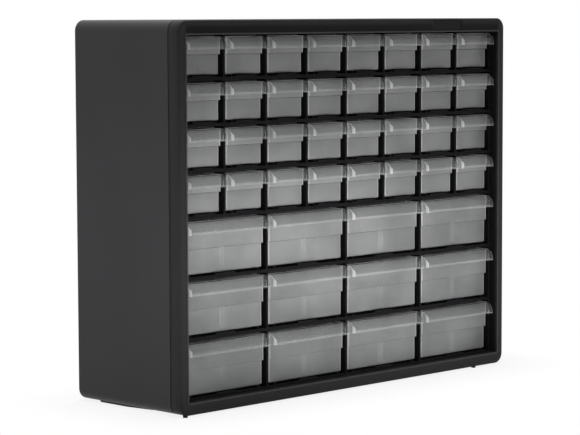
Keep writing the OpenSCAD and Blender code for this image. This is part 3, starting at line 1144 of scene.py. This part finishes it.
@dataclass
class Drawer:
    """One kind of drawer: its moulded mesh, made once and copied to each place.

    Attributes:
        kind: Which drawer.
        soft: Radius of the rim's and the step's edges, and of the pull's ends.
        foot_soft: Radius round the floor, outside and inside.
        fine_soft: Radius of the edges of ribs, tab and grip ends.
        grip_soft: Radius of the grip's long edges.
        bend_radius: Radius of the curved ends of the pull's hollow.
        jog: Height over which the wall passes the step.
        pull_root: How far the pull runs into the front wall, and hollow_root its hollow.
        under_rim: How far the pull stays under the rim.
        grip_gap: How far the grip stays inside the pull's ends.
        hollow_rear: Where the plan of the hollow ends, inside the tray.
        past: How far the hollow runs past the pull's lower edge.
        margin: How much farther its plan runs, up and down.
        rib_root: How far a rib runs into its wall, floor_root how far into the floor.
        tab_root: Height over the underside where the tab starts.
        corner_steps: Straight pieces in each upright corner.
        bend_steps: The same in the hollow's curved ends.
        arc_steps: The same in the pull's curve.
    """

    kind: DrawerKind
    soft: float = 0.45
    foot_soft: float = 1.0
    fine_soft: float = 0.3
    grip_soft: float = 0.5
    bend_radius: float = 6.5
    jog: float = 0.01
    pull_root: float = 1.0
    hollow_root: float = 0.6
    under_rim: float = 0.02
    grip_gap: float = 0.2
    hollow_rear: float = 9.0
    past: float = 2.0
    margin: float = 1.0
    rib_root: float = 0.25
    floor_root: float = 0.4
    tab_root: float = 0.6
    corner_steps: int = 5
    bend_steps: int = 6
    arc_steps: int = 12
    mesh: bpy.types.Mesh | None = field(default=None, init=False)

    def _low(self, cut: float, z: float) -> Ring:
        """Makes a ring of the lower body.

        Args:
            cut: How far the ring lies inside the body's outline, in millimetres.
            z: The ring's height.

        Returns:
            The ring.
        """
        sizes = self.kind.value
        side = sizes.step_in + cut
        return Ring(sizes.width / 2 - side, sizes.step_back + cut, sizes.length - side, sizes.corner - cut, z)

    def _high(self, cut: float, z: float) -> Ring:
        """Makes a ring of the upper body, cut millimetres inside its outline."""
        sizes = self.kind.value
        return Ring(sizes.width / 2 - cut, cut, sizes.length - cut, sizes.corner - cut, z)

    @staticmethod
    def _turn(make: Callable[[float, float], Ring], cut: float, z: float, radius: float, way: int,
              inner: bool = False) -> list[Ring]:
        """Makes the rings of a rounded edge between a level face and an upright one.

        Args:
            make: Makes a ring from a cut and a height.
            cut: The upright face's cut.
            z: The level face's height.
            radius: The edge's radius.
            way: 1 if the upright face lies above the level one, -1 if it lies below.
            inner: Whether the upright face is the inner one of a wall.

        Returns:
            The rings from the level face to the upright one.
        """
        side = -1 if inner else 1
        return [make(cut + side * radius * (1 - math.sin(angle)), z + way * radius * (1 - math.cos(angle)))
                for angle in QUARTER_TURN]

    def _levels(self) -> list[Ring]:
        """Lists the rings of the tray.

        Returns:
            The rings up the outside, over the rim and down the inside.
        """
        sizes = self.kind.value
        inner_step = sizes.step + sizes.wall
        rings = self._turn(self._low, 0.0, 0.0, self.foot_soft, 1)
        rings += [self._low(0.0, sizes.step - self.jog)]
        rings += self._turn(self._high, 0.0, sizes.step, self.soft, 1)
        rings += reversed(self._turn(self._high, 0.0, sizes.height, self.soft, -1))
        rings += self._turn(self._high, sizes.wall, sizes.height, self.soft, -1, inner=True)
        rings += [self._high(sizes.wall, inner_step), self._low(sizes.wall, inner_step - self.jog)]
        rings += [self._low(sizes.wall + self.foot_soft * (1 - math.cos(angle)),
                            sizes.floor + self.foot_soft * (1 - math.sin(angle)))
                  for angle in QUARTER_TURN]
        return rings

    def _arc(self, radius: float, stop_y: float) -> list[tuple[float, float]]:
        """Lists the points (y, z) of the pull's curve.

        Args:
            radius: The curve's radius.
            stop_y: Where it starts, at or behind the front wall's face.

        Returns:
            The points from the wall down to the pull's front.
        """
        y, z = self.kind.value.pull_centre
        start = math.acos(min(1.0, (stop_y - y) / radius))
        angles = [start + (math.pi - start) * step / self.arc_steps for step in range(self.arc_steps + 1)]
        return [(y + radius * math.cos(angle), z + radius * math.sin(angle)) for angle in angles]

    def _hollow(self) -> bpy.types.Mesh:
        """Builds the room under the pull, open below and curved at both ends.

        Returns:
            The mesh to cut from the pull.
        """
        sizes = self.kind.value
        half, front = sizes.width / 2 - sizes.web, -sizes.reach + sizes.pull_wall
        below = sizes.pull_bottom - self.past
        inner = self._arc(sizes.pull_radius - sizes.pull_wall, self.hollow_root)
        inner += [(front, below), (self.hollow_root, below)]
        plan = Ring(half, front, self.hollow_rear, self.bend_radius, below - self.margin)
        top = replace(plan, z=sizes.height + self.margin)
        room = lofted([ring.points(self.bend_steps) for ring in (plan, top)], "pull_room")
        bar = bar_along_x(inner, -half, half, 0.0, "pull_hollow")
        return combined(bar, [(Meeting.TRIM, room)], "pull_hollow")

    def _grip(self) -> bpy.types.Mesh:
        """Builds the thick lower edge of the pull.

        Returns:
            A bar with rounded edges.
        """
        sizes = self.kind.value
        soft, part = self.grip_soft, self.grip_soft * ARC_MIDDLE
        front, back = -sizes.reach, -sizes.reach + sizes.grip_t
        low, top = sizes.pull_bottom, sizes.pull_bottom + sizes.grip_h
        outline = [(front, top), (front, low + soft), (front + part, low + part), (front + soft, low),
                   (back - soft, low), (back - part, low + part), (back, low + soft), (back, top - soft),
                   (back - part, top - part), (back - soft, top)]
        half = sizes.width / 2 - self.grip_gap
        return bar_along_x(outline, -half, half, self.fine_soft, "grip")

    def _pull(self) -> Tool:
        """Builds the pull: curved shell, closed ends and grip.

        Returns:
            The pull, as a tool that is joined to the tray.
        """
        sizes = self.kind.value
        ceiling = sizes.height - self.under_rim
        outer = [(min(y, self.pull_root), min(z, ceiling))
                 for y, z in self._arc(sizes.pull_radius, self.pull_root)]
        outer += [(-sizes.reach, sizes.pull_bottom), (self.pull_root, sizes.pull_bottom)]
        block = bar_along_x(outer, -sizes.width / 2, sizes.width / 2, self.soft, "pull")
        shell = combined(block, [(Meeting.CUT, self._hollow())], "pull_shell")
        return Meeting.JOIN, combined(shell, [(Meeting.JOIN, self._grip())], "pull_whole")

    def _rib(self, x: float, y: float, half_x: float, half_y: float) -> Tool:
        """Builds one divider rib, from the floor to the step.

        Args:
            x: Its middle across the tray.
            y: Its middle along the tray.
            half_x: Half its width.
            half_y: Half its length.

        Returns:
            The rib, as a tool that is joined to the tray.
        """
        sizes = self.kind.value
        soft, part = self.fine_soft, self.fine_soft * ARC_MIDDLE
        levels = ((0.0, sizes.floor - self.floor_root), (0.0, sizes.step - soft), (part, sizes.step - part),
                  (soft, sizes.step))
        loops = [[(x + side * (half_x - cut), y + along * (half_y - cut), z)
                  for side, along in ((-1, -1), (1, -1), (1, 1), (-1, 1))] for cut, z in levels]
        return Meeting.JOIN, lofted(loops, "rib")

    def _ribs(self) -> list[Tool]:
        """Builds the ribs that hold the dividers.

        Returns:
            The ribs, as tools that are joined to the tray.
        """
        sizes = self.kind.value
        thin, deep = sizes.rib / 2, sizes.rib / 2 + self.rib_root
        shift = thin - self.rib_root
        side_x = sizes.width / 2 - sizes.step_in - sizes.wall - shift
        places = (sizes.length / 3, sizes.length * 2 / 3) if sizes.middle_slot else (sizes.length / 2,)
        found = [self._rib(side * side_x, y + along * (sizes.slot + sizes.rib) / 2, deep, thin)
                 for y in places for side in (-1, 1) for along in (-1, 1)]
        if sizes.middle_slot:
            ends = (sizes.step_back + sizes.wall + shift, sizes.length - sizes.step_in - sizes.wall - shift)
            found += [self._rib(side * (sizes.middle_gap + sizes.rib) / 2, y, thin, deep)
                      for side in (-1, 1) for y in ends]
        return found

    def _tab(self) -> Tool:
        """Builds the stop tab under the tray.

        Returns:
            The tab, as a tool that is joined to the tray.
        """
        sizes = self.kind.value
        soft = self.fine_soft
        rear = sizes.length - sizes.tab_inset
        front = rear - sizes.tab_t
        outline = [(rear, self.tab_root), (front, self.tab_root), (front, -sizes.tab_h + soft),
                   (front + soft, -sizes.tab_h), (rear - soft, -sizes.tab_h), (rear, -sizes.tab_h + soft)]
        return Meeting.JOIN, bar_along_x(outline, -sizes.tab_w / 2, sizes.tab_w / 2, soft, "tab")

    def build(self) -> bpy.types.Mesh:
        """Builds the drawer's mesh once.

        Returns:
            The mesh, with its front wall at y = 0 and its underside at z = 0.
        """
        if self.mesh is None:
            tray = lofted([ring.points(self.corner_steps) for ring in self._levels()], "tray")
            tools = [self._pull(), *self._ribs(), self._tab()]
            self.mesh = cleaned(combined(tray, tools, f"{self.kind.name.lower()}_drawer"))
            ZoneMap(self.kind.value, self.soft).mark(self.mesh)
        return self.mesh

    def place(self, node: str, book: FinishBook) -> bpy.types.Object:
        """Puts a copy where a CAD drawer is, in its stead.

        Args:
            node: The CAD node and body of the drawer.
            book: The finishes.

        Returns:
            The new drawer.
        """
        low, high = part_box(node)
        mesh = self.build().copy()
        sizes = self.kind.value
        corner = ((low.x + high.x) / 2, high.y - sizes.length * MM, low.z + sizes.tab_h * MM)
        mesh.transform(Matrix.Translation(corner))
        thing = bpy.data.objects.new("tray_" + node, mesh)
        bpy.context.scene.collection.objects.link(thing)
        book.dress(thing, Finish.DRAWER)
        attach(thing, node)
        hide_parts(node)
        return thing


@dataclass
class DrawerStack:
    """All the drawers, row by row from the top.

    Attributes:
        small_rows: Rows of small drawers, above the large ones.
        rows: Rows in all.
        small_columns: Small drawers in a row, twice as many as large ones.
    """

    small_rows: int = 4
    rows: int = ROWS
    small_columns: int = 8

    def build(self, book: FinishBook) -> list[bpy.types.Object]:
        """Builds and dresses every drawer.

        Args:
            book: The finishes.

        Returns:
            The drawers.
        """
        kinds = {kind: Drawer(kind) for kind in DrawerKind}
        placed = []
        for row in range(1, self.rows + 1):
            kind = DrawerKind.SMALL if row <= self.small_rows else DrawerKind.LARGE
            columns = self.small_columns if kind is DrawerKind.SMALL else self.small_columns // 2
            for column in range(1, columns + 1):
                placed.append(kinds[kind].place(f"{kind.name.lower()}_drawer_{row}_{column}", book))
        return placed


# ---------------------------------------------------------------- cabinet


@dataclass
class CabinetShell:
    """Housing, bezel, bare plate, shelves and posts, shown as the fixed solids with softened edges.

    Attributes:
        edge: Radius of the softened edges.
        weld: Points nearer than this are made one.
        segments: Strips in a softened edge.
        sharp_deg: Edges that turn by more than this are softened.
        face_weight: How much a large face keeps its own normal.
        slots: The finish of each node.
    """

    edge: float = 0.35
    weld: float = 0.01
    segments: int = 2
    sharp_deg: float = 40.0
    face_weight: int = 100
    slots: dict[str, Finish] = field(default_factory=lambda: {
        "rear_housing": Finish.HOUSING,
        "front_bezel": Finish.BEZEL,
        "blank_plate": Finish.PLATE,
        "top_plate": Finish.RACK,
        "long_posts": Finish.RACK,
        "short_posts": Finish.RACK,
        "left_end_post": Finish.RACK,
        "right_end_post": Finish.RACK,
        **{f"shelf_{row}": Finish.RACK for row in range(1, ROWS + 1)},
    })

    def soften(self, thing: bpy.types.Object) -> None:
        """Rounds a solid's sharp edges with modifiers and shades it smooth.

        Args:
            thing: The solid.
        """
        weld = thing.modifiers.new("weld", "WELD")
        weld.merge_threshold = self.weld * MM
        bevel = thing.modifiers.new("soft_edges", "BEVEL")
        bevel.width = self.edge * MM
        bevel.segments = self.segments
        bevel.limit_method = "ANGLE"
        bevel.angle_limit = math.radians(self.sharp_deg)
        thing.data.shade_smooth()
        flat = thing.modifiers.new("flat_faces", "WEIGHTED_NORMAL")
        flat.mode = "FACE_AREA"
        flat.weight = self.face_weight

    def build(self, book: FinishBook) -> list[bpy.types.Object]:
        """Dresses every fixed solid of the cabinet.

        Args:
            book: The finishes.

        Returns:
            The dressed solids.
        """
        dressed = []
        for node, finish in self.slots.items():
            thing = frame["nodes"][node]
            book.dress(thing, finish)
            self.soften(thing)
            dressed.append(thing)
        return dressed


# ---------------------------------------------------------------- studio


@dataclass
class Lamp:
    """A soft box: a flat lamp that looks at a point.

    Attributes:
        name: The lamp's name.
        place: Where it stands, in metres.
        aim: Where it looks, in metres.
        size: Width and height, in metres.
        power: Power in watts.
        spread: Angle of its beam, in degrees.
        shines: Whether it shows in reflections.
    """

    name: str
    place: Point
    aim: Point
    size: tuple[float, float]
    power: float
    spread: float = 180.0
    shines: bool = True

    def build(self) -> bpy.types.Object:
        """Builds the lamp and turns it to its aim.

        Returns:
            The lamp.
        """
        data = bpy.data.lights.new(self.name, "AREA")
        data.shape = "RECTANGLE"
        data.size, data.size_y = self.size
        data.energy = self.power
        data.spread = math.radians(self.spread)
        lamp = bpy.data.objects.new(self.name, data)
        lamp.location = self.place
        lamp.rotation_euler = (Vector(self.aim) - Vector(self.place)).to_track_quat("-Z", "Y").to_euler()
        lamp.visible_camera = False
        lamp.visible_glossy = self.shines
        bpy.context.scene.collection.objects.link(lamp)
        return lamp


@dataclass
class Studio:
    """Pale floor, white surround, soft lamps and the camera.

    Attributes:
        azimuth: Where the camera stands round the cabinet, in degrees.
        elevation: How high it stands, in degrees.
        roll: How far it is turned about its own axis, in degrees.
        distance: From its target, in metres.
        target: The point it looks at, in metres.
        lens: Its focal length.
        clip: Nearest and farthest distance that it shows, in metres.
        ambient: Strength of the surround as a light.
        floor_half: Half the floor's width, in metres.
        floor_grey: The floor's colour, and floor_rough its roughness.
        shadow_reach: Distance from the cabinet at which its shadow ends, in metres.
        shadow_white: How white the floor is under the cabinet.
        lamps: The soft boxes.
    """

    azimuth: float = -45.13
    elevation: float = 5.15
    roll: float = -0.19
    distance: float = 2.491
    target: Point = (-0.0164, 0.0, 0.1839)
    lens: float = 140.13
    clip: Span = (0.1, 40.0)
    ambient: float = 0.12
    floor_half: float = 6.0
    floor_grey: Colour = (0.86, 0.86, 0.86)
    floor_rough: float = 0.9
    shadow_reach: float = 0.10
    shadow_white: float = 0.85
    lamps: list[Lamp] = field(default_factory=lambda: [
        Lamp("left_key", (-2.4, 0.1, 0.9), (-0.25, 0.0, 0.15), (1.6, 1.6), 11.0),
        Lamp("overhead", (0.0, 0.1, 1.5), (0.0, 0.0, 0.25), (1.4, 0.9), 28.0),
        Lamp("front_strip", (0.20, -0.50, 0.075), (-0.20, -0.07, 0.15), (0.45, 0.12), 0.70),
        Lamp("front_grid", (-0.8, -1.6, 0.20), (-0.1, -0.07, 0.18), (0.6, 0.1), 0.14, spread=12.0,
             shines=False),
        Lamp("floor_card", (-0.15, -0.31, 0.004), (-0.15, -0.31, 1.0), (0.8, 0.4), 0.9, shines=False),
    ])

    @staticmethod
    def _seen(wiring: Wiring) -> Socket:
        """Tells the rays that see a surface from those that light it.

        Args:
            wiring: The wiring of the floor or the world.

        Returns:
            1 for camera, glossy and transmission rays, else 0.
        """
        path = wiring.add("LightPath")
        seen = wiring.math("MAXIMUM", path.outputs["Is Camera Ray"], path.outputs["Is Glossy Ray"])
        return wiring.math("MAXIMUM", seen, path.outputs["Is Transmission Ray"])

    def _whiteness(self, wiring: Wiring) -> Socket:
        """Gives how white the floor is to the eye, least under the cabinet.

        Args:
            wiring: The floor's wiring.

        Returns:
            The share of plain white.
        """
        x, y, _ = wiring.parts(wiring.position())
        beside = [wiring.math("MAXIMUM", wiring.math("SUBTRACT", wiring.math("ABSOLUTE", part), side), 0.0)
                  for part, side in ((x, CAD_BOX[1][0]), (y, CAD_BOX[1][1]))]
        away = wiring.math("SQRT", wiring.math("ADD", *(wiring.math("MULTIPLY", gap, gap) for gap in beside)))
        white = wiring.ramp(away, 0.0, self.shadow_reach, self.shadow_white, 1.0)
        return wiring.math("MULTIPLY", white, self._seen(wiring))

    def _floor(self) -> bpy.types.Object:
        """Builds the floor, white to the eye but with the cabinet's shadow.

        Returns:
            The floor.
        """
        mesh = bpy.data.meshes.new("studio_floor")
        half = self.floor_half
        mesh.from_pydata([(-half, -half, 0), (half, -half, 0), (half, half, 0), (-half, half, 0)], [],
                         [(0, 1, 2, 3)])
        floor = bpy.data.objects.new("studio_floor", mesh)
        bpy.context.scene.collection.objects.link(floor)
        material, wiring, shader = new_material("pale_floor")
        wiring.feed(shader, {"Base Color": rgba(self.floor_grey), "Roughness": self.floor_rough,
                             "Specular IOR Level": 0.0})
        white = wiring.add("Emission", {"Color": WHITE, "Strength": 1.0})
        both = wiring.add("MixShader", {0: self._whiteness(wiring), 1: shader.outputs[0],
                                        2: white.outputs[0]})
        wiring.feed(material.node_tree.nodes["Material Output"], {0: both.outputs[0]})
        mesh.materials.append(material)
        return floor

    def _surround(self) -> None:
        """Makes the world: white where it is seen, dimmer as a light."""
        world = bpy.data.worlds.new("studio")
        world.use_nodes = True
        bpy.context.scene.world = world
        wiring = Wiring(world.node_tree)
        strength = wiring.ramp(self._seen(wiring), 0.0, 1.0, self.ambient, 1.0, smooth=False)
        wiring.feed(world.node_tree.nodes["Background"], {"Color": WHITE, "Strength": strength})

    def _camera(self) -> bpy.types.Object:
        """Sets the camera at its place and turn.

        Returns:
            The camera.
        """
        azimuth, elevation, roll = (math.radians(a) for a in (self.azimuth, self.elevation, self.roll))
        back = Vector((math.sin(azimuth) * math.cos(elevation), -math.cos(azimuth) * math.cos(elevation),
                       math.sin(elevation)))
        side = (-back).cross(Vector((0, 0, 1))).normalized()
        up = side.cross(-back)
        across = math.cos(roll) * side + math.sin(roll) * up
        upright = -math.sin(roll) * side + math.cos(roll) * up
        data = bpy.data.cameras.new("camera")
        data.lens = self.lens
        data.clip_start, data.clip_end = self.clip
        camera = bpy.data.objects.new("camera", data)
        turn = Matrix((across, upright, back)).transposed().to_4x4()
        camera.matrix_world = Matrix.Translation(Vector(self.target) + back * self.distance) @ turn
        bpy.context.scene.collection.objects.link(camera)
        bpy.context.scene.camera = camera
        return camera

    def build(self) -> None:
        """Builds the floor, the surround, the lamps and the camera."""
        bpy.context.scene.view_settings.view_transform = "Standard"
        self._floor()
        self._surround()
        for lamp in self.lamps:
            lamp.build()
        self._camera()


def main() -> None:
    """Builds the studio, the cabinet and the drawers."""
    logging.basicConfig(level=logging.INFO, format="%(name)s: %(message)s")
    book = FinishBook()
    Studio().build()
    for thing in CabinetShell().build(book) + DrawerStack().build(book):
        LOG.info("%s: %d faces", thing.name, len(thing.data.polygons))


if __name__ == "__main__":
    main()
